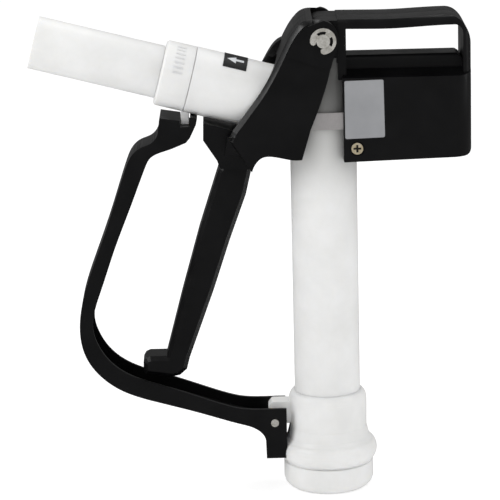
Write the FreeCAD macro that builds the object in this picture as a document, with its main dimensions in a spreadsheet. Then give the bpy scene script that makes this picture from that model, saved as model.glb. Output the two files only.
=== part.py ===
import FreeCAD, Part
import Sketcher
import math
import os
import re

# Squeeze-lever hand transfer pump.
# Frame: origin on the barrel axis at the bottom face of the swivel nut, +Z up the barrel,
# -X towards the spout, +X towards the housing, Y across the pump.  Millimetres.

os.makedirs("parts", exist_ok=True)
doc = FreeCAD.newDocument("transfer_pump")
V = FreeCAD.Vector

# ---------------------------------------------------------------- driving dimensions
DIMS = [
    ("tube_radius", 21.1, "barrel and outlet body, outside"),
    ("tube_wall", 3.2, "barrel and outlet body wall"),
    ("barrel_foot", 50.0, "lower end of the barrel inside the inlet coupling"),
    ("barrel_joint", 239.0, "joint between barrel and head"),
    ("spigot_reach", 7.0, "barrel spigot inside the head"),
    ("outlet_height", 247.0, "outlet axis on the barrel axis"),
    ("outlet_tilt", 14.9, "outlet axis above horizontal, degrees"),
    ("outlet_reach", 86.0, "end of the outlet body along its axis"),
    ("collar_reach", 105.4, "end of the outlet collar along its axis"),
    ("collar_radius", 20.9, "outlet collar, outside"),
    ("spout_radius", 16.8, "spout tube, outside"),
    ("spout_wall", 3.0, "spout tube wall"),
    ("spout_reach", 187.0, "spout tip along the outlet axis"),
    ("nut_radius", 28.9, "swivel nut, outside"),
    ("nut_height", 16.9, "swivel nut height"),
    ("thread_radius", 23.9, "swivel nut bore, one and a half inch pipe size"),
    ("bead_radius", 31.5, "bead above the nut"),
    ("coupling_radius", 25.2, "inlet coupling, outside"),
    ("coupling_top", 64.0, "upper end of the inlet coupling"),
    ("valve_radius", 12.5, "check valve discs"),
    ("pivot_height", 296.0, "lever pivot axis"),
    ("pin_radius", 4.2, "lever pivot pin"),
    ("lug_half", 19.4, "half width of the housing lug between the lever bosses"),
    ("cheek_inner", 23.4, "inner face of the lever cheeks from the centre plane"),
    ("cheek_outer", 26.4, "outer face of the lever cheeks from the centre plane"),
    ("boss_outer", 28.4, "outer face of the upper cheek and boss"),
    ("stem_half", 11.0, "half width of the lever stem"),
    ("guard_half", 15.0, "half width of the finger guard"),
    ("saddle_half", 18.0, "half width of the guard saddle"),
    ("guard_wall", 2.4, "finger guard side walls"),
    ("guard_pin_radius", 2.5, "guard pin"),
    ("housing_half", 25.0, "half width of the housing body"),
    ("handle_half", 20.0, "half width of the handle loop"),
    ("handle_wall", 6.0, "handle loop thickness"),
    ("handle_top", 307.8, "top of the handle loop"),
    ("housing_end", 92.4, "rear end of the housing"),
    ("housing_wall", 1.9, "housing wall"),
    ("pump_height", 246.0, "pump cylinder axis"),
    ("cylinder_radius", 17.0, "pump cylinder, outside"),
    ("bore_radius", 15.0, "pump cylinder bore"),
    ("rod_radius", 4.0, "piston rod"),
    ("strap_height", 244.2, "middle of the drive strap"),
    ("strap_width", 10.6, "height of the drive strap plate"),
    ("strap_inner", 21.6, "inner face of the strap sides from the centre plane"),
    ("strap_gauge", 1.2, "strap sheet thickness"),
    ("stud_radius", 2.4, "drive studs"),
    ("stud_offset", 15.0, "drive studs in front of the pivot at rest"),
]
value = {}
sheet = doc.addObject("Spreadsheet::Sheet", "Dims")
row = 1
for alias, number, note in DIMS:
    value[alias] = number
    sheet.set("A" + str(row), alias)
    sheet.set("B" + str(row), str(number))
    sheet.set("C" + str(row), note)
    sheet.setAlias("B" + str(row), alias)
    row += 1
doc.recompute()


def bound(text):
    """Expression text with the sheet's name put before every alias."""
    return re.sub(r"[a-z]+(?:_[a-z]+)+", lambda word: "Dims." + word.group(0), text)


def bind(thing, prop, size):
    """Set a property from a number, or bind it when the size is given as words."""
    if isinstance(size, str):
        thing.setExpression(prop, bound(size))
    elif prop.startswith(".Placement.Base."):
        base = thing.Placement.Base
        setattr(base, prop[-1], size)
        thing.Placement.Base = base
    else:
        setattr(thing, prop, size)


counter = [0]


def fresh(kind, word):
    counter[0] += 1
    return doc.addObject(kind, word + "_" + str(counter[0]))


def place(thing, spot):
    for letter, size in zip("xyz", spot):
        if size != 0:
            bind(thing, ".Placement.Base." + letter, size)
    return thing


def turn(thing, axis, degrees):
    thing.Placement = FreeCAD.Placement(V(0, 0, 0), FreeCAD.Rotation(V(*axis), degrees))
    return thing


def rod(radius, length, spot=(0, 0, 0), along="z"):
    thing = fresh("Part::Cylinder", "rod")
    if along == "x":
        turn(thing, (0, 1, 0), 90)
    if along == "y":
        turn(thing, (1, 0, 0), -90)
    bind(thing, "Radius", radius)
    bind(thing, "Height", length)
    return place(thing, spot)


def block(size, spot):
    thing = fresh("Part::Box", "block")
    for prop, number in zip(("Length", "Width", "Height"), size):
        bind(thing, prop, number)
    return place(thing, spot)


def ball(radius, spot):
    thing = fresh("Part::Sphere", "ball")
    bind(thing, "Radius", radius)
    return place(thing, spot)


def ring(major, minor, spot, along="z"):
    thing = fresh("Part::Torus", "ring")
    if along == "x":
        turn(thing, (0, 1, 0), 90)
    bind(thing, "Radius1", major)
    bind(thing, "Radius2", minor)
    return place(thing, spot)


def join(things):
    if len(things) == 1:
        return things[0]
    thing = fresh("Part::MultiFuse", "join")
    thing.Shapes = things
    return thing


def less(base, tools):
    thing = fresh("Part::Cut", "less")
    thing.Base = base
    thing.Tool = join(tools)
    return thing


def common(base, tool):
    thing = fresh("Part::Common", "common")
    thing.Base = base
    thing.Tool = tool
    return thing


def twin(thing):
    """Mirror image across the centre plane."""
    other = fresh("Part::Mirroring", "twin")
    other.Source = thing
    other.Normal = V(0, 1, 0)
    other.Base = V(0, 0, 0)
    return other


def pair(thing):
    return join([thing, twin(thing)])


def outline(runs):
    """Sketch in the XZ plane from runs of points: ('line', points) or ('curve', points)."""
    sketch = fresh("Sketcher::SketchObject", "outline")
    sketch.Placement = FreeCAD.Placement(V(0, 0, 0), FreeCAD.Rotation(V(1, 0, 0), 90))
    for kind, points in runs:
        spots = [V(point[0], point[1], 0) for point in points]
        if kind == "curve":
            curve = Part.BSplineCurve()
            curve.interpolate(spots)
            sketch.addGeometry(curve, False)
        else:
            for start, stop in zip(spots[:-1], spots[1:]):
                sketch.addGeometry(Part.LineSegment(start, stop), False)
    return sketch


def slab(runs, near, far):
    """Outline extruded across the pump from y = near to y = far."""
    thing = fresh("Part::Extrusion", "slab")
    thing.Base = outline(runs)
    thing.DirMode = "Custom"
    thing.Dir = V(0, 1, 0)
    thing.Solid = True
    bind(thing, "LengthFwd", "(" + str(far) + ") - (" + str(near) + ")")
    return place(thing, (0, near, 0))


def closed(points):
    return [("line", list(points) + [points[0]])]


def turned(word, points):
    """PartDesign body: profile (radius, height) revolved about Z."""
    body = doc.addObject("PartDesign::Body", word + "_body")
    sketch = body.newObject("Sketcher::SketchObject", word + "_profile")
    plane = [item for item in body.Origin.OriginFeatures if "XZ_Plane" in item.Name][0]
    sketch.AttachmentSupport = [(plane, "")]
    sketch.MapMode = "FlatFace"
    spots = [V(point[0], point[1], 0) for point in points]
    for start, stop in zip(spots, spots[1:] + spots[:1]):
        sketch.addGeometry(Part.LineSegment(start, stop), False)
    feature = body.newObject("PartDesign::Revolution", word + "_revolution")
    feature.Profile = sketch
    feature.ReferenceAxis = (sketch, ["V_Axis"])
    feature.Angle = 360
    body.Tip = feature
    return body


def rounded(corners, radius, steps=5):
    """Closed outline with its corners rounded; a corner may carry its own radius."""
    spots = []
    count = len(corners)
    for index in range(count):
        corner = corners[index]
        size = corner[2] if len(corner) > 2 else radius
        here = V(corner[0], corner[1], 0)
        before = V(corners[index - 1][0], corners[index - 1][1], 0) - here
        after = V(corners[(index + 1) % count][0], corners[(index + 1) % count][1], 0) - here
        if size <= 0:
            spots.append((here.x, here.y))
            continue
        half = before.getAngle(after) / 2
        reach = min(size / math.tan(half), 0.45 * min(before.Length, after.Length))
        first = here + before.normalize() * reach
        last = here + after.normalize() * reach
        for step in range(steps + 1):
            part = step / steps
            spot = first * (1 - part) ** 2 + here * 2 * part * (1 - part) + last * part ** 2
            spots.append((spot.x, spot.y))
    return spots


def coil(word, radius, wire, length, turns, spot, along="z"):
    """Compression spring with its axis along Z (or X), lower end at the spot."""
    helix = Part.makeHelix(length / turns, length, radius)
    slant = V(0, radius, length / turns / (2 * math.pi)).normalize()
    lifted = slant.cross(V(1, 0, 0))
    spots = []
    for step in range(9):
        angle = math.radians(45 * step)
        spots.append(V(radius, 0, 0) + V(1, 0, 0) * wire * math.cos(angle) + lifted * wire * math.sin(angle))
    spots[8] = spots[0]
    profile = Part.makePolygon(spots)
    shape = Part.Wire(helix.Edges).makePipeShell([profile], True, True)
    thing = doc.addObject("Part::Feature", word + "_coil")
    thing.Shape = shape
    if along == "x":
        turn(thing, (0, 1, 0), 90)
    return place(thing, spot)


nodes = {}


def node(name, thing):
    thing.Label = name
    nodes[name] = thing
    return thing


def along_outlet(thing, start="0"):
    """Carry something built along Z onto the outlet axis, beginning at a reach along it."""
    thing.Placement = FreeCAD.Placement(V(0, 0, 0), FreeCAD.Rotation(V(0, -1, 0), 75.0))
    thing.setExpression(".Placement.Rotation.Angle", bound("90deg - outlet_tilt * 1deg"))
    bind(thing, ".Placement.Base.x", "0 - (" + start + ") * cos(outlet_tilt * 1deg)")
    bind(thing, ".Placement.Base.z", "outlet_height + (" + start + ") * sin(outlet_tilt * 1deg)")
    return thing


pivot = value["pivot_height"]
outlet = value["outlet_height"]
lean = math.radians(value["outlet_tilt"])
tube = value["tube_radius"]


def outlet_point(reach, lift):
    """(x, z) of a point at a reach along the outlet axis, lifted square to it."""
    x = -reach * math.cos(lean) + lift * math.sin(lean)
    return (x, outlet + reach * math.sin(lean) + lift * math.cos(lean))


# ---------------------------------------------------------------- barrel and head
bore = "tube_radius - tube_wall"
barrel = join([
    rod("tube_radius", "barrel_joint - barrel_foot", (0, 0, "barrel_foot")),
    rod("tube_radius - 1.65", "spigot_reach", (0, 0, "barrel_joint")),
])
barrel_bore = rod(bore, "barrel_joint - barrel_foot + spigot_reach + 2", (0, 0, "barrel_foot - 1"))
outlet_way = along_outlet(rod(bore, "outlet_reach"))
node("barrel_tube", less(barrel, [barrel_bore, outlet_way]))

head_outside = join([
    rod("tube_radius", "outlet_height - barrel_joint", (0, 0, "barrel_joint")),
    ball("tube_radius", (0, 0, "outlet_height")),
    along_outlet(rod("tube_radius", "outlet_reach")),
    rod(6.0, 12.0, (18.0, 0, "pump_height"), "x"),
    common(rod("tube_radius", "pivot_height - 12.4 - outlet_height", (0, 0, "outlet_height")),
           block((18.0, 60.0, 60.0), (-6.0, -30.0, 240.0))),
])
head_inside = join([
    rod("tube_radius - 1.55", "spigot_reach + 0.3", (0, 0, "barrel_joint")),
    rod(bore, "outlet_height - barrel_joint + 1", (0, 0, "barrel_joint - 1")),
    ball(bore, (0, 0, "outlet_height")),
    along_outlet(rod(bore, "outlet_reach + 1")),
    rod(4.0, 22.0, (12.0, 0, "pump_height"), "x"),
    rod("tube_radius", 40.0, (0, 0, "barrel_joint - 40")),
    common(rod("tube_radius - 4", 30.0, (0, 0, "outlet_height + 23")), block((11.0, 60.0, 60.0), (-2.0, -30.0, 240.0))),
])
node("head_elbow", less(head_outside, [head_inside]))

# ---------------------------------------------------------------- outlet side
joint = value["outlet_reach"]
reach = value["collar_reach"]
spigot = value["tube_radius"] - value["tube_wall"] - 0.05
seat = joint - 14.0
cup = value["spout_radius"] - 0.35
mouth = value["collar_radius"]
collar = turned("outlet_collar", [
    (10.0, seat), (spigot, seat), (spigot, joint + 0.3), (mouth, joint + 0.3),
    (mouth, reach - 1.2), (mouth - 1.2, reach), (cup, reach), (cup, joint + 2.4),
    (15.0, joint + 2.4), (15.0, seat + 3.0), (10.0, seat + 3.0),
])
along_outlet(collar)
rib = less(
    block((5.0, 16.0, 20.0), (-89.6, -8.0, "outlet_height - 5.3")),
    [along_outlet(rod("collar_radius - 1", 130)), along_outlet(rod("tube_radius + 0.1", "outlet_reach + 0.3"))],
)

node("spout_tube", less(
    join([
        along_outlet(rod("spout_radius - 0.4", "spout_reach - outlet_reach - 2.6"), "outlet_reach + 2.6"),
        along_outlet(rod("spout_radius", "spout_reach - collar_reach - 0.4"), "collar_reach + 0.4"),
    ]),
    [along_outlet(rod("spout_radius - spout_wall", 250))],
))
groove = joint + 11.0
node("spout_seal", along_outlet(ring(value["spout_radius"] + 0.5, 0.85, (0, 0, 0)), str(groove)))
collar_groove = along_outlet(rod("spout_radius + 1.4", 2.0), "outlet_reach + 10.0")
node("outlet_collar", less(join([collar, rib]), [collar_groove]))

disc = value["valve_radius"]
lift = seat + 3.2
poppet = turned("outlet_poppet", [
    (0.0, lift), (disc, lift), (disc, lift + 1.6), (3.0, lift + 2.6), (3.0, lift + 5.0), (0.0, lift + 5.0),
])
node("outlet_valve", along_outlet(poppet))
cage_face = joint - 0.6
cage = turned("outlet_ring", [
    (11.5, cage_face), (14.8, cage_face), (14.8, cage_face + 2.4), (11.5, cage_face + 2.4),
])
spokes = []
for angle in (0, 120, 240):
    arm = block((13.0, 2.4, 2.0), (0, -1.2, cage_face + 0.2))
    arm.Placement = FreeCAD.Placement(
        FreeCAD.Rotation(V(0, 0, 1), angle).multVec(V(0, -1.2, 0)) + V(0, 0, cage_face + 0.2),
        FreeCAD.Rotation(V(0, 0, 1), angle),
    )
    spokes.append(arm)
hub = rod(4.6, 2.4, (0, 0, cage_face))
node("outlet_cage", along_outlet(join([cage, hub] + spokes)))
node("outlet_spring", along_outlet(
    coil("outlet", 4.2, 0.4, cage_face - lift - 3.45, 3, (0, 0, 0)), str(lift + 3.0)))

sector = rod("tube_radius + 0.25", 15.0)
sector.Angle = 54
turn(sector, (0, 0, 1), -43)
node("flow_sticker", along_outlet(less(sector, [rod("tube_radius", 15.0)]), "53.7"))

# ---------------------------------------------------------------- inlet side
top = value["coupling_top"]
wide = value["coupling_radius"]
bead = value["bead_radius"]
nut = value["nut_radius"]
tall = value["nut_height"]
thread = value["thread_radius"]
foot = value["barrel_foot"]
inner = tube - value["tube_wall"]
shoulder = []
for step in range(7):
    angle = math.radians(15 * step)
    shoulder.append((wide - 4.0 + 4.0 * math.sin(angle), top - 6.5 + 6.5 * math.cos(angle)))
swell = []
for step in range(9):
    angle = math.radians(68 - 17 * step)
    swell.append((bead - 5.2 + 5.2 * math.cos(angle), tall + 7.7 + 7.2 * math.sin(angle)))
flange = tall - 6.0
coupling_profile = [(tube + 0.02, top)] + shoulder + [(wide - 0.2, 40.0), (wide + 1.4, 33.6)] + swell
coupling_profile += [
    (nut - 0.3, tall + 0.4), (22.0, tall + 0.4), (22.0, flange + 2.4), (thread + 0.7, flange + 2.4),
    (thread + 0.7, flange), (inner, flange), (inner, 20.0), (10.0, 20.0), (10.0, 23.0),
    (inner, 23.0), (inner, foot - 0.2), (tube + 0.02, foot - 0.2),
]
coupling = turned("coupling", coupling_profile)
tongue = slab(closed(rounded([(-24.0, 43.0), (-37.0, 41.0), (-38.4, 46.0), (-38.4, 54.0), (-36.0, 57.2),
                              (-24.0, 57.2)], 2.0)), -6.0, 6.0)
tongue_hole = rod("guard_pin_radius", 30.0, (-34.6, -15.0, 45.8), "y")
tongue_clear = rod(24.0, 30.0, (0, 0, 35.0))
node("inlet_coupling", join([coupling, less(tongue, [tongue_hole, tongue_clear])]))

lip = tall - 3.4
nut_profile = [
    (nut - 0.6, tall), (nut, tall - 0.6), (nut, 6.0), (nut - 0.9, 3.2), (nut - 2.6, 1.2), (nut - 4.4, 0.0),
    (thread, 0.0), (thread, flange - 2.1), (thread + 1.3, flange - 2.1), (thread + 1.3, lip),
    (22.3, lip), (22.3, tall),
]
node("swivel_nut", turned("nut", nut_profile))
node("inlet_gasket", less(
    rod("thread_radius - 0.4", 2.0, (0, 0, flange - 2.0)), [rod(bore, 4.0, (0, 0, flange - 3.0))]))

low = 23.2
inlet_poppet = turned("inlet_poppet", [
    (0.0, low), (disc, low), (disc, low + 1.6), (3.0, low + 2.6), (3.0, low + 5.0), (0.0, low + 5.0),
])
node("inlet_valve", inlet_poppet)
ledge = 38.0
inlet_ring = turned("inlet_ring", [
    (14.6, ledge), (inner - 0.05, ledge), (inner - 0.05, ledge + 2.4), (14.6, ledge + 2.4),
])


def spoke(angle, height, length):
    arm = block((length, 2.4, 2.0), (0, 0, 0))
    turning = FreeCAD.Rotation(V(0, 0, 1), angle)
    arm.Placement = FreeCAD.Placement(turning.multVec(V(0, -1.2, 0)) + V(0, 0, height + 0.2), turning)
    return arm


inlet_spokes = [spoke(angle, ledge, 15.5) for angle in (30, 150, 270)]
node("inlet_cage", join([inlet_ring, rod(4.6, 2.4, (0, 0, ledge))] + inlet_spokes))
node("inlet_spring", coil("inlet", 4.2, 0.4, ledge - low - 3.45, 4, (0, 0, low + 3.0)))

# ---------------------------------------------------------------- lever
rear_edge = [(-8.6, 239.8), (-0.6, 260.6), (2.7, 271.2), (5.6, pivot - 13.4), (7.7, pivot - 7.9)]
boss_edge = [(7.7, pivot - 7.9), (9.2, pivot - 3.5), (9.6, pivot + 1.5), (8.3, pivot + 6.4), (5.0, pivot + 10.6),
             (0.2, pivot + 12.6), (-6.3, pivot + 12.9)]
crown_edge = [(-6.3, pivot + 12.9), (-9.6, 308.6), (-12.9, 307.3), (-16.0, 304.6), (-19.2, 300.6), (-22.4, 295.3),
              (-25.2, 289.8), (-28.2, 283.6), (-31.8, 276.6), (-36.6, 268.2), (-42.4, 259.4)]
cheek_bottom = [(-45.7, 213.5), (-43.1, 219.2), (-39.3, 222.6), (-31.1, 223.0), (-21.8, 221.0), (-14.2, 220.8)]
front_points = crown_edge + [(-57.3, 239.8), (-60.0, 234.0)]


def side_view(inset):
    """Runs of the lever's side outline with its front and crown moved in."""
    moved = []
    for index, spot in enumerate(front_points):
        first = front_points[max(index - 1, 0)]
        last = front_points[min(index + 1, len(front_points) - 1)]
        way = V(last[0] - first[0], last[1] - first[1], 0).normalize()
        moved.append((spot[0] - way.y * inset, spot[1] + way.x * inset))
    count = len(crown_edge)
    return [
        ("line", [(-14.2, 220.8), (-8.6, 239.8)]), ("curve", rear_edge),
        ("curve", boss_edge[:-1]), ("line", [boss_edge[-2], moved[0]]), ("curve", moved[:count]),
        ("line", [moved[count - 1], moved[-2], moved[-1], (-45.7, 213.5)]), ("curve", cheek_bottom),
    ]


under_crown = [(-6.3, 306.2), (-9.2, 305.9), (-11.8, 304.9), (-14.3, 302.7), (-17.2, 299.0), (-20.2, 294.0),
               (-22.9, 288.8), (-25.8, 282.6), (-29.4, 275.6), (-32.6, 269.4)]
between = slab(closed([(16.0, 316.0), (-6.3, 316.0)] + under_crown + [(-72.0, 262.0), (-72.0, 200.0), (16.0, 200.0)]),
               "0 - cheek_inner", "cheek_inner")
arch = common(along_outlet(rod("tube_radius + 6.7", 130)), block((160.0, 46.8, 140.0), (-150.0, -23.4, 200.0)))


def boss_runs():
    """Runs of the proud boss round the pin, inside the sloped edge of the crown."""
    return [
        ("line", [(-21.8, 288.8), (-23.2, 286.6), (-1.5, 279.3), (4.7, 278.9)]),
        ("curve", [(4.7, 278.9), (5.6, pivot - 13.4), (7.7, pivot - 7.9)]),
        ("curve", boss_edge[:-1]),
        ("line", [(0.2, pivot + 12.6), (-5.6, 306.6), (-9.1, 305.3), (-11.4, 304.3), (-13.8, 302.1), (-16.8, 298.5),
                  (-19.6, 293.3), (-21.8, 288.8)]),
    ]


proud_cheek = slab(boss_runs(), "cheek_outer", "boss_outer")
boss_pad = rod(9.0, "cheek_inner + 0.6 - lug_half - 0.6", (0, "lug_half + 0.6", "pivot_height"), "y")
ear = slab([
    ("curve", [(-24.4, 290.6), (-27.8, 288.8), (-31.2, 285.2), (-34.6, 279.8), (-37.8, 274.0), (-41.0, 268.0)]),
    ("line", [(-41.0, 268.0), (-33.0, 268.0), (-28.6, 276.6), (-24.4, 285.6), (-24.4, 290.6)]),
], 15.0, "cheek_outer - 0.6")
ear = less(ear, [along_outlet(rod("tube_radius + 6.7", 130))])
shelf = less(
    slab(closed([(-75.6, 243.9), (-75.9, 232.9), (-67.5, 219.8), (-65.7, 214.6), (-45.7, 213.5),
                 (-43.1, 219.2), (-42.2, 226.0), (-49.0, 236.0), (-56.0, 238.4)]), -17.0, 17.0),
    [along_outlet(rod("tube_radius + 0.5", 130))],
)
flare = fresh("Part::Wedge", "flare")
flare.Xmin, flare.Xmax, flare.Zmin, flare.Zmax = -64.5, -48.5, -8.2, 8.2
flare.X2min, flare.X2max, flare.Z2min, flare.Z2max = -60.5, -38.5, -26.4, 26.4
flare.Ymin, flare.Ymax = 0.0, 26.0
turn(flare, (1, 0, 0), 90)
place(flare, (0, 0, 210.0))
flare_cut = less(flare, [along_outlet(rod("tube_radius + 0.5", 130)), rod("tube_radius + 17", 80, (0, 0, 205.0))])
stem_front = [(-60.0, 222.0), (-66.4, 213.0), (-67.1, 211.2), (-79.6, 173.6), (-92.0, 131.0), (-103.0, 90.8)]
toe = [(-113.8, 90.8), (-116.6, 89.6), (-118.1, 87.0), (-118.2, 81.4), (-116.8, 79.4)]
heel = [(-100.1, 76.8), (-94.9, 77.8), (-90.3, 81.7), (-88.2, 89.6)]
stem_rear = [(-81.3, 108.1), (-71.6, 134.3), (-60.6, 166.8), (-49.8, 195.9), (-45.7, 213.0), (-46.0, 222.0)]
stem_points = stem_front + toe + heel + stem_rear
stem = slab(closed(stem_points), "0 - stem_half", "stem_half")


def bevel(base, plane, size, low_limit, high_limit):
    """Chamfer the edges of a slab that lie in the planes y = +plane and y = -plane."""
    doc.recompute()
    chosen = []
    for index, edge in enumerate(base.Shape.Edges, 1):
        box = edge.BoundBox
        flat = abs(abs(box.YMin) - plane) < 0.01 and abs(abs(box.YMax) - plane) < 0.01 and box.YLength < 0.01
        if flat and box.ZMin > low_limit and box.ZMax < high_limit:
            chosen.append((index, size, size))
    thing = fresh("Part::Chamfer", "bevel")
    thing.Base = base
    thing.Edges = chosen
    return thing


stem = bevel(stem, value["stem_half"], 2.6, 60.0, 260.0)
pin_hole = rod("pin_radius + 0.06", 70.0, (0, -35.0, "pivot_height"), "y")
middle = math.hypot(value["stud_offset"], pivot - value["strap_height"])
swing = math.degrees(math.atan2(value["stud_offset"], pivot - value["strap_height"]))
slot = join([
    block((5.8, 1.9, 8.0), (-2.9, 0, 0)),
    rod(2.9, 1.9, (0, 0, 0), "y"),
    rod(2.9, 1.9, (0, 0, 8.0), "y"),
])
slot_spot = V(-(middle + 2.8) * math.sin(math.radians(swing)), value["cheek_inner"] - 0.1,
              pivot - (middle + 2.8) * math.cos(math.radians(swing)))
slot.Placement = FreeCAD.Placement(slot_spot, FreeCAD.Rotation(V(0, 1, 0), swing))
edge_full = outline(side_view(0.0))
edge_in = outline(side_view(2.9))
bind(edge_full, ".Placement.Base.y", "cheek_outer - 2.9")
bind(edge_in, ".Placement.Base.y", "cheek_outer")
slope = fresh("Part::Loft", "slope")
slope.Sections = [edge_full, edge_in]
slope.Solid = True
slope.Ruled = True
yoke = join([slab(side_view(0.0), "2.9 - cheek_outer", "cheek_outer - 2.9"), pair(slope)])
yoke = less(yoke, [between, arch])
lever = less(join([yoke, pair(proud_cheek), pair(boss_pad), ear, shelf, flare_cut, stem]), [pin_hole, pair(slot)])
node("lever", lever)

node("pivot_pin", less(
    rod("pin_radius", "2 * boss_outer + 4.4", (0, "0 - boss_outer - 2.2", "pivot_height"), "y"),
    [pair(less(rod(8.0, 1.0, (0, "boss_outer + 0.35", "pivot_height"), "y"),
               [rod("pin_radius - 0.5", 1.0, (0, "boss_outer + 0.35", "pivot_height"), "y")]))],
))


def clip_spot(radius, angle):
    return (radius * math.cos(math.radians(angle)), pivot + radius * math.sin(math.radians(angle)))


clip_tools = [rod("pin_radius - 0.45", 2.0, (0, "boss_outer", "pivot_height"), "y")]
clip_gap = [(0.0, pivot), clip_spot(10.0, 187), clip_spot(14.0, 228), clip_spot(10.0, 270)]
clip_tools.append(slab(closed(clip_gap), "boss_outer", "boss_outer + 2"))
for centre in (100.5, -3.5):
    window = [clip_spot(6.15, centre - 31 + 7.75 * step) for step in range(9)]
    window += [clip_spot(4.3, centre + 27 - 6.75 * step) for step in range(9)]
    clip_tools.append(slab(closed(window), "boss_outer", "boss_outer + 2"))
clip_tips = []
for angle in (186, 271):
    spot = clip_spot(6.2, angle)
    clip_tips.append(rod(1.75, 0.9, (spot[0], "boss_outer + 0.4", spot[1]), "y"))
e_clip = join([less(rod(8.15, 0.9, (0, "boss_outer + 0.4", "pivot_height"), "y"), clip_tools)] + clip_tips)
node("e_clips", pair(e_clip))

# ---------------------------------------------------------------- finger guard
guard_out = [(-104.0, 240.0), (-105.4, 234.9), (-109.3, 231.1), (-115.6, 228.6), (-120.1, 225.2),
             (-125.5, 214.9), (-134.6, 187.9), (-146.5, 155.7), (-155.8, 127.7), (-157.5, 117.0),
             (-157.5, 104.6), (-153.7, 91.1), (-144.6, 78.9), (-131.8, 69.7), (-114.9, 63.2),
             (-82.7, 53.8), (-57.2, 45.7), (-47.6, 42.4), (-42.4, 38.2), (-40.5, 32.0)]
guard_in = [(-27.0, 55.1), (-44.0, 55.1), (-57.0, 56.2), (-63.4, 57.8), (-82.4, 64.4), (-101.5, 71.1),
            (-121.5, 77.9), (-133.0, 84.2), (-141.6, 92.6), (-146.9, 101.9), (-149.3, 110.6),
            (-148.6, 120.0), (-142.6, 138.6), (-133.9, 163.2), (-122.2, 192.2), (-112.8, 216.0),
            (-109.5, 221.8), (-103.2, 225.2), (-93.6, 228.4)]
guard_mid = [(-27.0, 45.0), (-44.0, 46.6), (-60.0, 50.0), (-84.0, 57.8), (-114.6, 66.8), (-129.0, 73.0),
             (-140.6, 81.4), (-149.4, 92.6), (-153.4, 105.2), (-154.2, 117.4), (-152.6, 128.4),
             (-143.4, 156.4), (-131.6, 188.6), (-122.4, 215.6), (-117.0, 224.0)]
saddle = [(-93.6, 228.4), (-86.7, 231.2), (-84.1, 234.3), (-80.1, 242.6), (-79.3, 246.6), (-83.7, 247.6),
          (-84.2, 241.4), (-89.8, 241.4), (-90.2, 245.4), (-102.6, 247.4), (-104.0, 240.0)]
guard_slab = slab([("curve", guard_out), ("line", [(-40.5, 32.0), (-40.3, 22.0), (-27.0, 22.0), (-27.0, 55.1)]),
                   ("curve", guard_in), ("line", saddle)], "0 - guard_half", "guard_half")
mid_back = list(reversed(guard_mid))
guard_pocket = slab([("curve", guard_mid), ("line", [(-117.0, 224.0), (-106.0, 219.6), (-20.0, 122.0),
                                                    (-20.0, 45.0), (-27.0, 45.0)])],
                    "guard_wall - guard_half", "guard_half - guard_wall")
hook_pocket = slab(closed([(-38.7, 47.0), (-38.7, 24.6), (-20.0, 24.6), (-20.0, 47.0)]), -6.2, 6.2)
coupling_room = turned("coupling_room", [
    (0.0, 70.0), (wide + 0.35, 70.0), (wide + 0.35, 40.0), (wide + 1.9, 33.8)] +
    [(spot[0] + 0.4, spot[1] + 0.15) for spot in swell] + [(nut + 0.4, tall), (nut + 0.4, 0.0), (0.0, 0.0)])
saddle_room = along_outlet(rod("collar_radius + 0.3", 140))
guard_hole = rod("guard_pin_radius + 0.03", 40.0, (-34.6, -20.0, 45.8), "y")
node("finger_guard", less(guard_slab, [guard_pocket, hook_pocket, coupling_room, saddle_room, guard_hole]))
node("guard_pin", rod("guard_pin_radius", "2 * guard_half + 1.2", (-34.6, "0 - guard_half - 0.6", 45.8), "y"))

# ---------------------------------------------------------------- housing and handle loop
end = value["housing_end"]
half = value["housing_half"]
ceiling = 271.7
hull = slab(closed(rounded([(12.0, 218.3, 0.8), (82.0, 220.0, 0), (end, 220.9, 13.0), (end, ceiling, 1.0),
                            (12.0, ceiling, 0.5)], 1.0)), "0 - housing_half", "housing_half")
slope_top = fresh("Part::Wedge", "slope")
slope_top.Xmin, slope_top.Xmax, slope_top.Zmin, slope_top.Zmax = 12.0, end, -half, half
slope_top.X2min, slope_top.X2max, slope_top.Z2min, slope_top.Z2max = 12.0, end, -12.0, 12.0
slope_top.Ymin, slope_top.Ymax = 0.0, 3.4
slope_top.Placement = FreeCAD.Placement(V(0, 0, ceiling), FreeCAD.Rotation(V(1, 0, 0), 90))
ridge = slab(closed([(13.0, 270.0), (13.0, 276.0), (14.0, 276.0), (14.0, 283.5), (83.6, 283.5), (86.4, 281.6),
                     (88.6, 276.5), (88.6, 270.0)]), -11.0, 11.0)
doc.recompute()
ridge_edges = []
for index, edge in enumerate(ridge.Shape.Edges, 1):
    box = edge.BoundBox
    if abs(box.ZMin - 283.5) < 0.01 and box.XLength > 20.0 and abs(abs(box.YMin) - 11.0) < 0.01:
        ridge_edges.append((index, 2.5))
ridge_soft = fresh("Part::Fillet", "soft")
ridge_soft.Base = ridge
ridge_soft.Edges = [(index, size, size) for index, size in ridge_edges]
roof = value["handle_top"]
gauge = value["handle_wall"]
arc_out = []
arc_in = []
for step in range(9):
    angle = math.radians(11.25 * step)
    arc_out.append((end - 15.0 + 15.0 * math.sin(angle), roof - 18.6 + 19.8 * math.cos(angle)))
    arc_in.append((end - 5.0 - 5.0 + 5.0 * math.sin(angle), roof + 1.2 - gauge - 6.0 + 6.0 * math.cos(angle)))
loop_top = [(9.3, roof), (28.0, roof - 0.3), (44.0, roof - 0.35), (60.0, roof + 0.4), (end - 15.0, roof + 1.2)]
loop_under = [(end - 10.0, roof + 1.2 - gauge), (60.0, roof + 0.4 - gauge), (44.0, roof - 0.35 - gauge),
              (28.0, roof - 0.3 - gauge), (14.5, roof - gauge)]
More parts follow.
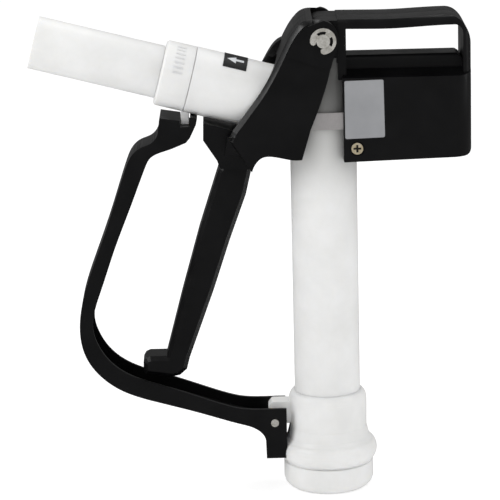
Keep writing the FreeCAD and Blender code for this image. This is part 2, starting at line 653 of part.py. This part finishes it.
loop = less(
    slab([("line", [(9.3, 268.0), (9.3, roof)]), ("curve", loop_top), ("curve", arc_out),
          ("line", [arc_out[-1], (end, 268.0), (9.3, 268.0)])], "0 - handle_half", "handle_half"),
    [slab([("line", [(14.5, 272.2), (14.5, roof - gauge)]),
           ("curve", list(reversed(loop_under))), ("curve", arc_in),
           ("line", [arc_in[-1], (end - 5.0, 272.2), (14.5, 272.2)])], -40.0, 40.0)],
)
grip = value["handle_half"]
loop = common(loop, join([
    block((120.0, 2 * grip - 8.0, 60.0), (0.0, 4.0 - grip, roof + 1.3 - 60.0)),
    block((120.0, 2 * grip, 56.0), (0.0, 0 - grip, roof + 1.3 - 60.0)),
    rod(4.0, 120.0, (0.0, grip - 4.0, roof - 2.7), "x"),
    rod(4.0, 120.0, (0.0, 4.0 - grip, roof - 2.7), "x"),
]))
loop = common(loop, join([
    block((end - 5.0, 2 * grip, 60.0), (0.0, 0 - grip, 260.0)),
    block((end, 2 * grip - 10.0, 60.0), (0.0, 5.0 - grip, 260.0)),
    rod(5.0, 60.0, (end - 5.0, grip - 5.0, 260.0)),
    rod(5.0, 60.0, (end - 5.0, 5.0 - grip, 260.0)),
]))
lug = join([
    rod(11.2, "2 * lug_half", (0, "0 - lug_half", "pivot_height"), "y"),
    slab(closed([(0.0, pivot - 11.2), (10.0, 280.0), (10.0, pivot + 11.2), (0.0, pivot + 11.2)]),
         "0 - lug_half", "lug_half"),
])
wall = value["housing_wall"]
cavity = slab(
    closed([(0.0, 220.4), (80.0, 222.0), (end - wall, 226.0), (end - wall, 269.8), (0.0, 269.8)]),
    "0 - housing_half + housing_wall", "housing_half - housing_wall")
turn_radius = 9.0


def plan(inset, radius):
    """Plan view of the housing body: square at the barrel, round at the two rear corners."""
    wide = half - inset
    back = end - inset
    return join([
        block((back - radius + 20.0, 2 * wide, 100.0), (-20.0, 0 - wide, 200.0)),
        block((back + 20.0, 2 * (wide - radius), 100.0), (-20.0, radius - wide, 200.0)),
        rod(radius, 100.0, (back - radius, wide - radius, 200.0)),
        rod(radius, 100.0, (back - radius, radius - wide, 200.0)),
    ])


body_outside = common(join([hull, slope_top]), plan(0.0, turn_radius))
cavity = common(cavity, plan(wall, turn_radius - wall))
shell = less(join([body_outside, ridge_soft, loop, lug]), [cavity])
ribs = join([
    block((3.0, 46.4, 49.6), (30.0, -23.2, 220.3)),
    block((3.0, 46.4, 49.0), (55.0, -23.2, 220.9)),
    block((14.0, 46.4, 6.0), (13.0, -23.2, 264.0)),
])
ribs_cut = less(ribs, [
    rod("cylinder_radius + 0.05", 60.0, (20.0, 0, "pump_height"), "x"),
    pair(block((60.0, 2.4, "strap_width + 1.6"), (10.0, 20.8, "strap_height - strap_width / 2 - 0.8"))),
])
spring_seat = less(rod(11.5, 2.5, (end - wall - 2.4, 0, "pump_height"), "x"),
                   [rod(7.0, 1.5, (end - wall - 2.5, 0, "pump_height"), "x")])
screw_hole = rod(2.1, 60.0, (20.4, -30.0, 226.9), "y")
screw_sink = pair(rod(4.6, 1.3, (20.4, 23.8, 226.9), "y"))
housing = less(join([shell, ribs_cut, spring_seat]), [
    rod("tube_radius + 0.05", 70.5, (0, 0, 200.0)),
    common(rod("tube_radius + 0.05", "pivot_height - 12.3 - 200", (0, 0, 200.0)),
           block((18.05, 60.0, 100.0), (-6.0, -30.0, 200.0))),
    rod("pin_radius + 0.02", 60.0, (0, -30.0, "pivot_height"), "y"),
    screw_hole, screw_sink,
])
node("housing_near", less(housing, [block((160.0, 60.0, 140.0), (-30.0, -0.1, 200.0))]))
node("housing_far", less(housing, [block((160.0, 60.0, 140.0), (-30.0, -59.9, 200.0))]))

saddle_block = less(
    block((11.6, 45.8, 15.0), (13.5, -22.9, 221.2)),
    [rod("tube_radius + 0.05", 40.0, (0, 0, 210.0)), rod(1.7, 60.0, (20.4, -30.0, 226.9), "y")])
node("barrel_saddle", saddle_block)

screw = join([
    rod(3.7, 1.4, (20.4, 23.85, 226.9), "y"),
    rod(1.7, 9.0, (20.4, 15.0, 226.9), "y"),
])
cross = join([
    block((4.8, 1.4, 1.3), (18.0, 24.3, 226.25)),
    block((1.3, 1.4, 4.8), (19.75, 24.3, 224.5)),
])
node("housing_screws", pair(less(screw, [cross])))
node("rating_plate", slab(closed(rounded([(13.0, 233.2), (37.8, 233.9), (37.2, 270.4), (12.9, 270.0)], 1.2)),
                          "0 - housing_half - 0.25", "0 - housing_half"))

# ---------------------------------------------------------------- pump inside the housing
front = 25.4
node("port_seal", less(
    rod(7.6, 1.2, (front - 1.25, 0, "pump_height"), "x"), [rod(6.05, 3.0, (front - 2.0, 0, "pump_height"), "x")]))
node("pump_cylinder", less(
    rod("cylinder_radius", 36.0, (front, 0, "pump_height"), "x"),
    [rod("bore_radius", 40.0, (front + 3.0, 0, "pump_height"), "x"),
     rod(6.02, 4.7, (front - 0.1, 0, "pump_height"), "x")],
))
rest = front + 6.4
node("piston", less(
    rod("bore_radius - 0.4", 9.0, (rest, 0, "pump_height"), "x"),
    [less(rod(20.0, 2.2, (rest + 3.4, 0, "pump_height"), "x"),
          [rod("bore_radius - 2.2", 2.2, (rest + 3.4, 0, "pump_height"), "x")]),
     rod("bore_radius - 4", 6.0, (rest + 3.0, 0, "pump_height"), "x")],
))
node("piston_seal", less(
    rod("bore_radius - 0.05", 2.0, (rest + 3.5, 0, "pump_height"), "x"),
    [rod("bore_radius - 2.18", 4.0, (rest + 2.5, 0, "pump_height"), "x")]))
cross_at = 65.0
node("piston_rod", join([
    rod("rod_radius", cross_at - rest - 3.0, (rest + 3.0, 0, "pump_height"), "x"),
    rod(2.5, 6.0, (cross_at, 0, "pump_height"), "x"),
]))
gap = "strap_height - strap_width / 2"
strap_side = slab(closed(rounded([(-18.4, 0.0), (cross_at, 0.0, 0), (cross_at, value["strap_width"], 0),
                                  (-18.4, value["strap_width"])], 3.0)), "strap_inner", "strap_inner + strap_gauge")
bind(strap_side, ".Placement.Base.z", gap)
strap_back = block(("strap_gauge", "2 * strap_inner + 2 * strap_gauge", "strap_width"),
                   (cross_at, "0 - strap_inner - strap_gauge", gap))
strap_back_top = rod(7.0, "strap_gauge", (cross_at, 0, "pump_height"), "x")
node("drive_strap", less(join([pair(strap_side), strap_back, strap_back_top]),
                         [rod(2.55, 6.0, (cross_at - 2.0, 0, "pump_height"), "x")]))
node("drive_studs", pair(rod("stud_radius", 2.1, ("0 - stud_offset", "strap_inner + strap_gauge", "strap_height"), "y")))
nut_points = []
for step in range(6):
    angle = math.radians(60 * step)
    nut_points.append((4.6 * math.cos(angle), 4.6 * math.sin(angle)))
rod_nut = slab(closed(nut_points), 0.0, 3.2)
rod_nut.Placement = FreeCAD.Placement(V(0, 0, 0), FreeCAD.Rotation(V(0, 0, 1), -90))
bind(rod_nut, ".Placement.Base.x", cross_at + value["strap_gauge"])
bind(rod_nut, ".Placement.Base.z", "pump_height")
node("rod_nut", less(rod_nut, [rod(2.5, 8.0, (cross_at, 0, "pump_height"), "x")]))
coil_start = cross_at + value["strap_gauge"] + 0.75
coil_stop = end - wall - 2.4 + 1.4 - 0.75
node("return_spring", coil("return", 6.3, 0.65, coil_stop - coil_start, 5, (coil_start, 0, "pump_height"), "x"))

# ---------------------------------------------------------------- check and write
doc.recompute()
for thing in doc.Objects:
    state = [word for word in thing.State if word in ("Invalid", "Error")]
    if state:
        raise RuntimeError(thing.Name + " " + thing.Label + " has state " + str(state))
    if hasattr(thing, "Shape") and thing.TypeId != "Spreadsheet::Sheet":
        if thing.TypeId.startswith("App::"):
            continue
        if thing.Shape.isNull():
            raise RuntimeError(thing.Name + " has no shape")
        if thing.TypeId != "Sketcher::SketchObject" and not thing.Shape.isValid():
            raise RuntimeError(thing.Name + " " + thing.Label + " has a shape that is not valid")
for name, thing in sorted(nodes.items()):
    solids = len(thing.Shape.Solids)
    print(name, "solids", solids, "volume", round(thing.Shape.Volume, 1))
    if solids == 0:
        raise RuntimeError(name + " has no solid")
    thing.Shape.exportStep("parts/" + name + ".step")
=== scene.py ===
import math
import bpy
import bmesh
from mathutils import Matrix, Vector


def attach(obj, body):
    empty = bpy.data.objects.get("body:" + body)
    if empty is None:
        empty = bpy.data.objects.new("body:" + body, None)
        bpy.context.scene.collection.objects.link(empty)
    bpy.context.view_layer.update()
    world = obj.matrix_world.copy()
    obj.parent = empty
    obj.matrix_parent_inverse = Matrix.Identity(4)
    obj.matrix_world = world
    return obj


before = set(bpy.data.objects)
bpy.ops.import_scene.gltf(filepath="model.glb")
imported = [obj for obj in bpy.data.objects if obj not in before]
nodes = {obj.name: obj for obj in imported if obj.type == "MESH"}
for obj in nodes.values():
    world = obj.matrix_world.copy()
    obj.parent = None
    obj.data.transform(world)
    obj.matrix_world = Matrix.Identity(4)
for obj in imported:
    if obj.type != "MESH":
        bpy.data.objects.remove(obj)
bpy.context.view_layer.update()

TILT = math.radians(14.9)
OUTLET = Vector((-math.cos(TILT), 0.0, math.sin(TILT)))
UP = Vector((math.sin(TILT), 0.0, math.cos(TILT)))
JUNCTION = Vector((0.0, 0.0, 0.247))
SHADE_FOOT = 0.247
SHADE_TOP = 0.287
RECESS_FLOOR = 0.0009
RECESS_LIP = 0.0004
SUNK = 0.0001


# ------------------------------------------------------------------ materials
class Paint:
    """A node material with helpers for noise, ramps and bump in object coordinates."""

    def __init__(self, name, colour, roughness, metallic=0.0, specular=0.5):
        self.material = bpy.data.materials.new(name)
        self.material.use_nodes = True
        self.tree = self.material.node_tree
        self.shader = self.tree.nodes["Principled BSDF"]
        self.shader.inputs["Base Color"].default_value = (*colour, 1.0)
        self.shader.inputs["Roughness"].default_value = roughness
        self.shader.inputs["Metallic"].default_value = metallic
        self.shader.inputs["Specular IOR Level"].default_value = specular
        self.place = self.tree.nodes.new("ShaderNodeTexCoord").outputs["Object"]
        self.height = None

    def node(self, kind, **inputs):
        made = self.tree.nodes.new(kind)
        for key, value in inputs.items():
            made.inputs[key.replace("_", " ")].default_value = value
        return made

    def link(self, out, into):
        self.tree.links.new(out, into)

    def stretch(self, scale):
        mapping = self.node("ShaderNodeMapping", Scale=scale)
        self.link(self.place, mapping.inputs["Vector"])
        return mapping.outputs["Vector"]

    def coordinate(self, axis):
        split = self.tree.nodes.new("ShaderNodeSeparateXYZ")
        self.link(self.place, split.inputs[0])
        return split.outputs[axis]

    def noise(self, scale, detail=3.0, rough=0.5, place=None):
        made = self.node("ShaderNodeTexNoise", Scale=scale, Detail=detail, Roughness=rough)
        self.link(place or self.place, made.inputs["Vector"])
        return made.outputs["Fac"]

    def ramp(self, value, stops):
        made = self.tree.nodes.new("ShaderNodeValToRGB")
        while len(made.color_ramp.elements) < len(stops):
            made.color_ramp.elements.new(0.5)
        for element, (spot, colour) in zip(made.color_ramp.elements, stops):
            element.position = spot
            if isinstance(colour, (int, float)):
                colour = (colour, colour, colour)
            element.color = (*colour, 1.0)
        self.link(value, made.inputs["Fac"])
        return made.outputs["Color"]

    def span(self, value, low, high, a=0.35, b=0.65):
        made = self.node("ShaderNodeMapRange")
        made.inputs["From Min"].default_value = a
        made.inputs["From Max"].default_value = b
        made.inputs["To Min"].default_value = low
        made.inputs["To Max"].default_value = high
        self.link(value, made.inputs["Value"])
        return made.outputs["Result"]

    def mix(self, factor, one, two):
        made = self.tree.nodes.new("ShaderNodeMix")
        made.data_type = "RGBA"
        self.link(factor, made.inputs["Factor"])
        for socket, value in ((made.inputs[6], one), (made.inputs[7], two)):
            if isinstance(value, tuple):
                socket.default_value = (*value, 1.0)
            else:
                self.link(value, socket)
        return made.outputs[2]

    def colour(self, out):
        self.link(out, self.shader.inputs["Base Color"])

    def rough(self, out):
        self.link(out, self.shader.inputs["Roughness"])

    def bump(self, out, strength, distance):
        made = self.node("ShaderNodeBump", Strength=strength, Distance=distance)
        self.link(out, made.inputs["Height"])
        if self.height is not None:
            self.link(self.height, made.inputs["Normal"])
        self.height = made.outputs["Normal"]
        self.link(self.height, self.shader.inputs["Normal"])


def white_plastic(name, shade=None):
    """Milky plastic; shade is (axis, start, end, low grey, high grey), a painted shade gradient where the
    plastic lies in the shade of the lever and housing, partly also dark works showing through.
    """
    paint = Paint(name, (0.70, 0.70, 0.69), 0.36, specular=0.4)
    paint.shader.inputs["Subsurface Weight"].default_value = 0.4
    paint.shader.inputs["Subsurface Radius"].default_value = (1.0, 0.95, 0.85)
    paint.shader.inputs["Subsurface Scale"].default_value = 0.004
    cloud = paint.noise(38.0, 4.0, 0.6)
    tone = paint.ramp(cloud, [(0.30, (0.715, 0.715, 0.705)), (0.70, (0.785, 0.785, 0.78))])
    if shade:
        axis, start, end, low, high = shade
        # Painted shade: greys running from low at SHADE_FOOT to high at SHADE_TOP are blended over the
        # white along one axis, standing for shade and partly for dark works behind the plastic.
        climb = paint.span(paint.coordinate("Z"), 0.0, 1.0, SHADE_FOOT, SHADE_TOP)
        shade_grey = paint.mix(climb, (low, low, low * 0.97), (high, high, high * 0.95))
        tone = paint.mix(paint.span(paint.coordinate(axis), 0.0, 1.0, start, end), tone, shade_grey)
    paint.colour(tone)
    flow = paint.noise(14.0, 5.0, 0.65, paint.stretch((6.0, 6.0, 1.0)))
    paint.rough(paint.span(flow, 0.28, 0.46))
    paint.bump(flow, 0.10, 0.0006)
    paint.bump(paint.noise(900.0, 2.0), 0.05, 0.0002)
    return paint.material


def black_plastic():
    paint = Paint("black_nylon", (0.004, 0.004, 0.005), 0.38, specular=0.5)
    cloud = paint.noise(55.0, 4.0, 0.6)
    paint.colour(paint.ramp(cloud, [(0.25, (0.0012, 0.0012, 0.0016)), (0.75, (0.0030, 0.0029, 0.0035))]))
    paint.rough(paint.span(cloud, 0.32, 0.43))
    paint.bump(paint.noise(1500.0, 3.0, 0.6), 0.14, 0.00016)
    paint.bump(paint.noise(70.0, 3.0), 0.04, 0.0005)
    return paint.material


def steel():
    paint = Paint("zinc_plated_steel", (0.55, 0.54, 0.51), 0.34, metallic=0.6)
    patch = paint.noise(420.0, 4.0, 0.6)
    paint.colour(paint.ramp(patch, [(0.30, (0.50, 0.48, 0.43)), (0.65, (0.84, 0.82, 0.77))]))
    paint.rough(paint.span(patch, 0.46, 0.26))
    paint.bump(paint.noise(1600.0, 3.0), 0.12, 0.00015)
    return paint.material


def strap_metal():
    paint = Paint("scuffed_strap", (0.58, 0.55, 0.55), 0.40, metallic=0.75)
    brush = paint.noise(60.0, 6.0, 0.7, paint.stretch((1.0, 1.0, 22.0)))
    scuff = paint.noise(210.0, 5.0, 0.7)
    both = paint.mix(scuff, (0.62, 0.59, 0.59), (0.86, 0.83, 0.82))
    paint.colour(both)
    paint.rough(paint.span(brush, 0.28, 0.55))
    paint.bump(brush, 0.20, 0.0002)
    paint.bump(scuff, 0.15, 0.0003)
    return paint.material


def screw_metal():
    paint = Paint("yellow_zinc", (0.60, 0.50, 0.30), 0.32, metallic=0.6)
    tint = paint.noise(500.0, 3.0)
    golds = [(0.3, (0.50, 0.41, 0.26)), (0.55, (0.74, 0.65, 0.46)), (0.75, (0.70, 0.62, 0.55))]
    tone = paint.ramp(tint, golds)
    # Painted shade: below the head face the cross recess and its lip darken to near black, where the real
    # recess lies in shade.
    away = paint.tree.nodes.new("ShaderNodeMath")
    away.operation = "ABSOLUTE"
    paint.link(paint.coordinate("Y"), away.inputs[0])
    face = max(abs(spot.co.y) for spot in nodes["housing_screws"].data.vertices)
    recess_shade = paint.span(away.outputs[0], 0.0, 1.0, face - RECESS_FLOOR, face - RECESS_LIP)
    paint.colour(paint.mix(recess_shade, (0.03, 0.025, 0.02), tone))
    paint.bump(paint.noise(1800.0, 2.0), 0.10, 0.00012)
    return paint.material


def label_foil():
    paint = Paint("silver_label", (0.33, 0.335, 0.35), 0.42, metallic=0.35)
    grain = paint.noise(1400.0, 2.0, 0.6)
    cloud = paint.noise(60.0, 3.0)
    paint.colour(paint.ramp(cloud, [(0.3, (0.355, 0.36, 0.375)), (0.7, (0.405, 0.41, 0.425))]))
    paint.rough(paint.span(grain, 0.36, 0.50))
    paint.bump(grain, 0.06, 0.0001)
    return paint.material


def rubber():
    paint = Paint("nitrile_rubber", (0.02, 0.02, 0.02), 0.62)
    dust = paint.noise(300.0, 4.0)
    paint.colour(paint.ramp(dust, [(0.3, 0.012), (0.75, 0.034)]))
    paint.bump(dust, 0.12, 0.0002)
    return paint.material


def spring_wire():
    paint = Paint("spring_wire", (0.6, 0.6, 0.6), 0.25, metallic=1.0)
    draw = paint.noise(700.0, 3.0)
    paint.colour(paint.ramp(draw, [(0.3, 0.44), (0.7, 0.68)]))
    return paint.material


def sticker():
    paint = Paint("printed_vinyl", (0.02, 0.02, 0.02), 0.3)
    cloud = paint.noise(160.0, 3.0)
    paint.colour(paint.ramp(cloud, [(0.3, (0.0022, 0.0026, 0.0032)), (0.7, (0.0050, 0.0058, 0.0068))]))
    paint.rough(paint.span(cloud, 0.40, 0.52))
    return paint.material


WHITE = white_plastic("natural_polypropylene")
# Painted shade: the barrel darkens towards its top under the strap, the head darkens towards the housing
# and upwards, partly also dark works seen through the plastic.
BARREL = white_plastic("polypropylene_barrel_painted_shade", ("Z", 0.196, 0.250, 0.38, 0.30))
HEAD = white_plastic("polypropylene_head_painted_shade", ("X", -0.031, -0.013, 0.20, 0.05))
BLACK = black_plastic()
STEEL = steel()
STRAP = strap_metal()
SCREW = screw_metal()
LABEL = label_foil()
RUBBER = rubber()
WIRE = spring_wire()
STICKER = sticker()

DRESS = {
    BARREL: ["barrel_tube"],
    HEAD: ["head_elbow"],
    WHITE: ["outlet_collar", "spout_tube", "outlet_cage", "outlet_valve",
            "inlet_coupling", "inlet_cage", "inlet_valve", "swivel_nut", "pump_cylinder", "piston"],
    BLACK: ["lever", "finger_guard", "housing_near", "housing_far", "barrel_saddle"],
    STEEL: ["pivot_pin", "e_clips", "guard_pin", "drive_studs", "rod_nut", "piston_rod"],
    STRAP: ["drive_strap"],
    SCREW: ["housing_screws"],
    LABEL: ["rating_plate"],
    RUBBER: ["spout_seal", "inlet_gasket", "port_seal", "piston_seal"],
    WIRE: ["outlet_spring", "inlet_spring", "return_spring"],
    STICKER: ["flow_sticker"],
}
for material, names in DRESS.items():
    for name in names:
        mesh = nodes[name].data
        mesh.materials.clear()
        mesh.materials.append(material)


def soften(name, width, angle=32.0, segments=3):
    """Rounded edges on a CAD node: coplanar triangles merged, then a bevel."""
    thing = nodes[name]
    merge = thing.modifiers.new("weld", "WELD")
    merge.merge_threshold = 0.00001
    flat = thing.modifiers.new("flat", "DECIMATE")
    flat.decimate_type = "DISSOLVE"
    flat.angle_limit = math.radians(0.6)
    bevel = thing.modifiers.new("bevel", "BEVEL")
    bevel.width = width
    bevel.segments = segments
    bevel.limit_method = "ANGLE"
    bevel.angle_limit = math.radians(angle)
    bevel.harden_normals = True
    bevel.use_clamp_overlap = True
    bevel.miter_outer = "MITER_ARC"


EDGES = {
    "lever": 0.0008,
    "finger_guard": 0.0009,
    "housing_near": 0.0008,
    "housing_far": 0.0008,
    "spout_tube": 0.0004,
    "outlet_collar": 0.0006,
    "swivel_nut": 0.0003,
}
for name, width in EDGES.items():
    soften(name, width)


# ------------------------------------------------------------------ raised marks on the outlet
def wrapped(name, rows, radius, thick, material):
    """Closed patch bent round the outlet, from rows of (reach, centre angle, half width)."""
    across = 6
    build = bmesh.new()
    layers = []
    for level in (radius - SUNK, radius + thick):
        grid = []
        for reach, angle, half in rows:
            line = []
            for step in range(across + 1):
                turn = math.radians(angle) + (2.0 * step / across - 1.0) * half / radius
                outward = UP * math.cos(turn) + Vector((0, 1, 0)) * math.sin(turn)
                spot = JUNCTION + OUTLET * reach + outward * level
                line.append(build.verts.new(spot))
            grid.append(line)
        layers.append(grid)
    low_grid, high_grid = layers
    last = len(rows) - 1
    for row in range(last):
        for step in range(across):
            build.faces.new((high_grid[row][step], high_grid[row][step + 1],
                             high_grid[row + 1][step + 1], high_grid[row + 1][step]))
            build.faces.new((low_grid[row][step], low_grid[row + 1][step],
                             low_grid[row + 1][step + 1], low_grid[row][step + 1]))
        for step in (0, across):
            build.faces.new((low_grid[row][step], high_grid[row][step],
                             high_grid[row + 1][step], low_grid[row + 1][step]))
    for row in (0, last):
        for step in range(across):
            build.faces.new((low_grid[row][step], high_grid[row][step],
                             high_grid[row][step + 1], low_grid[row][step + 1]))
    bmesh.ops.recalc_face_normals(build, faces=build.faces)
    mesh = bpy.data.meshes.new(name)
    build.to_mesh(mesh)
    build.free()
    mesh.materials.append(material)
    piece = bpy.data.objects.new(name, mesh)
    bpy.context.scene.collection.objects.link(piece)
    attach(piece, "frame")
    return piece


def ink():
    paint = Paint("white_ink", (0.62, 0.64, 0.66), 0.4)
    wear = paint.noise(260.0, 4.0, 0.7)
    paint.colour(paint.ramp(wear, [(0.3, (0.48, 0.50, 0.53)), (0.6, (0.66, 0.68, 0.70))]))
    return paint.material


STICKER_FACE = 0.02135
COLLAR_FACE = 0.0209
ARROW_ANGLE = -22.0
shaft = [(0.0560 + 0.0010 * step, ARROW_ANGLE, 0.0011) for step in range(6)]
head = [(0.0610 + 0.0008 * step, ARROW_ANGLE, 0.0034 * (1.0 - step / 7.0) + 0.00005) for step in range(8)]
wrapped("flow_arrow", shaft + head, STICKER_FACE, 0.00006, ink())
for index in range(7):
    middle = -74.0 + 9.0 * index
    rows = [(0.0925 + 0.0012 * step, middle, 0.00055) for step in range(6)]
    wrapped("grip_rib_" + str(index + 1), rows, COLLAR_FACE, 0.00022, WHITE)

# ------------------------------------------------------------------ floor, light, camera
mesh = bpy.data.meshes.new("floor")
build = bmesh.new()
bmesh.ops.create_grid(build, x_segments=8, y_segments=8, size=6.0)
build.to_mesh(mesh)
build.free()
floor = bpy.data.objects.new("floor", mesh)
bpy.context.scene.collection.objects.link(floor)
floor.location = (0.0, 2.0, -0.0002)
pale = Paint("pale_floor", (0.6, 0.6, 0.6), 0.9, specular=0.1)
pale.colour(pale.ramp(pale.noise(3.0), [(0.3, 0.59), (0.7, 0.61)]))
pale.shader.inputs["Emission Color"].default_value = (1.0, 1.0, 1.0, 1.0)
pale.shader.inputs["Emission Strength"].default_value = 0.52
mesh.materials.append(pale.material)

world = bpy.data.worlds.new("studio")
bpy.context.scene.world = world
world.use_nodes = True
sky = world.node_tree
surround = sky.nodes["Background"]
surround.inputs["Color"].default_value = (1.0, 1.0, 1.0, 1.0)
rays = sky.nodes.new("ShaderNodeLightPath")
dim = sky.nodes.new("ShaderNodeMapRange")
dim.inputs["To Min"].default_value = 0.82
dim.inputs["To Max"].default_value = 0.15
sky.links.new(rays.outputs["Is Glossy Ray"], dim.inputs["Value"])
sky.links.new(dim.outputs["Result"], surround.inputs["Strength"])
floor.visible_glossy = False


def lamp(name, spot, target, size, power, tall=None):
    light = bpy.data.lights.new(name, "AREA")
    light.shape = "RECTANGLE"
    light.size = size
    light.size_y = tall or size
    light.energy = power
    holder = bpy.data.objects.new(name, light)
    bpy.context.scene.collection.objects.link(holder)
    holder.location = spot
    holder.rotation_euler = (Vector(target) - Vector(spot)).to_track_quat("-Z", "Y").to_euler()


lamp("left_softbox", (-1.3, -0.6, 1.2), (0, 0, 0.15), 0.7, 9.0, 0.9)
lamp("right_softbox", (1.4, -0.5, 0.9), (0, 0, 0.15), 0.6, 4.0, 1.0)
lamp("top_softbox", (-0.1, 0.5, 1.5), (0, 0, 0.15), 0.9, 4.5)

camera = bpy.data.cameras.new("camera")
camera.lens = 201.6
camera.sensor_width = 36.0
camera.clip_end = 50.0
eye = bpy.data.objects.new("camera", camera)
bpy.context.scene.collection.objects.link(eye)
right = Vector((0.99966464, -0.01184802, -0.02302681))
above = Vector((0.02520869, 0.24170428, 0.97002245))
back = -Vector((0.00592716, 0.97027762, -0.2419219))
eye.matrix_world = Matrix((
    (right.x, above.x, back.x, -0.0586),
    (right.y, above.y, back.y, -1.7368),
    (right.z, above.z, back.z, 0.59027),
    (0.0, 0.0, 0.0, 1.0),
))
bpy.context.scene.camera = eye
bpy.context.scene.view_settings.view_transform = "Standard"
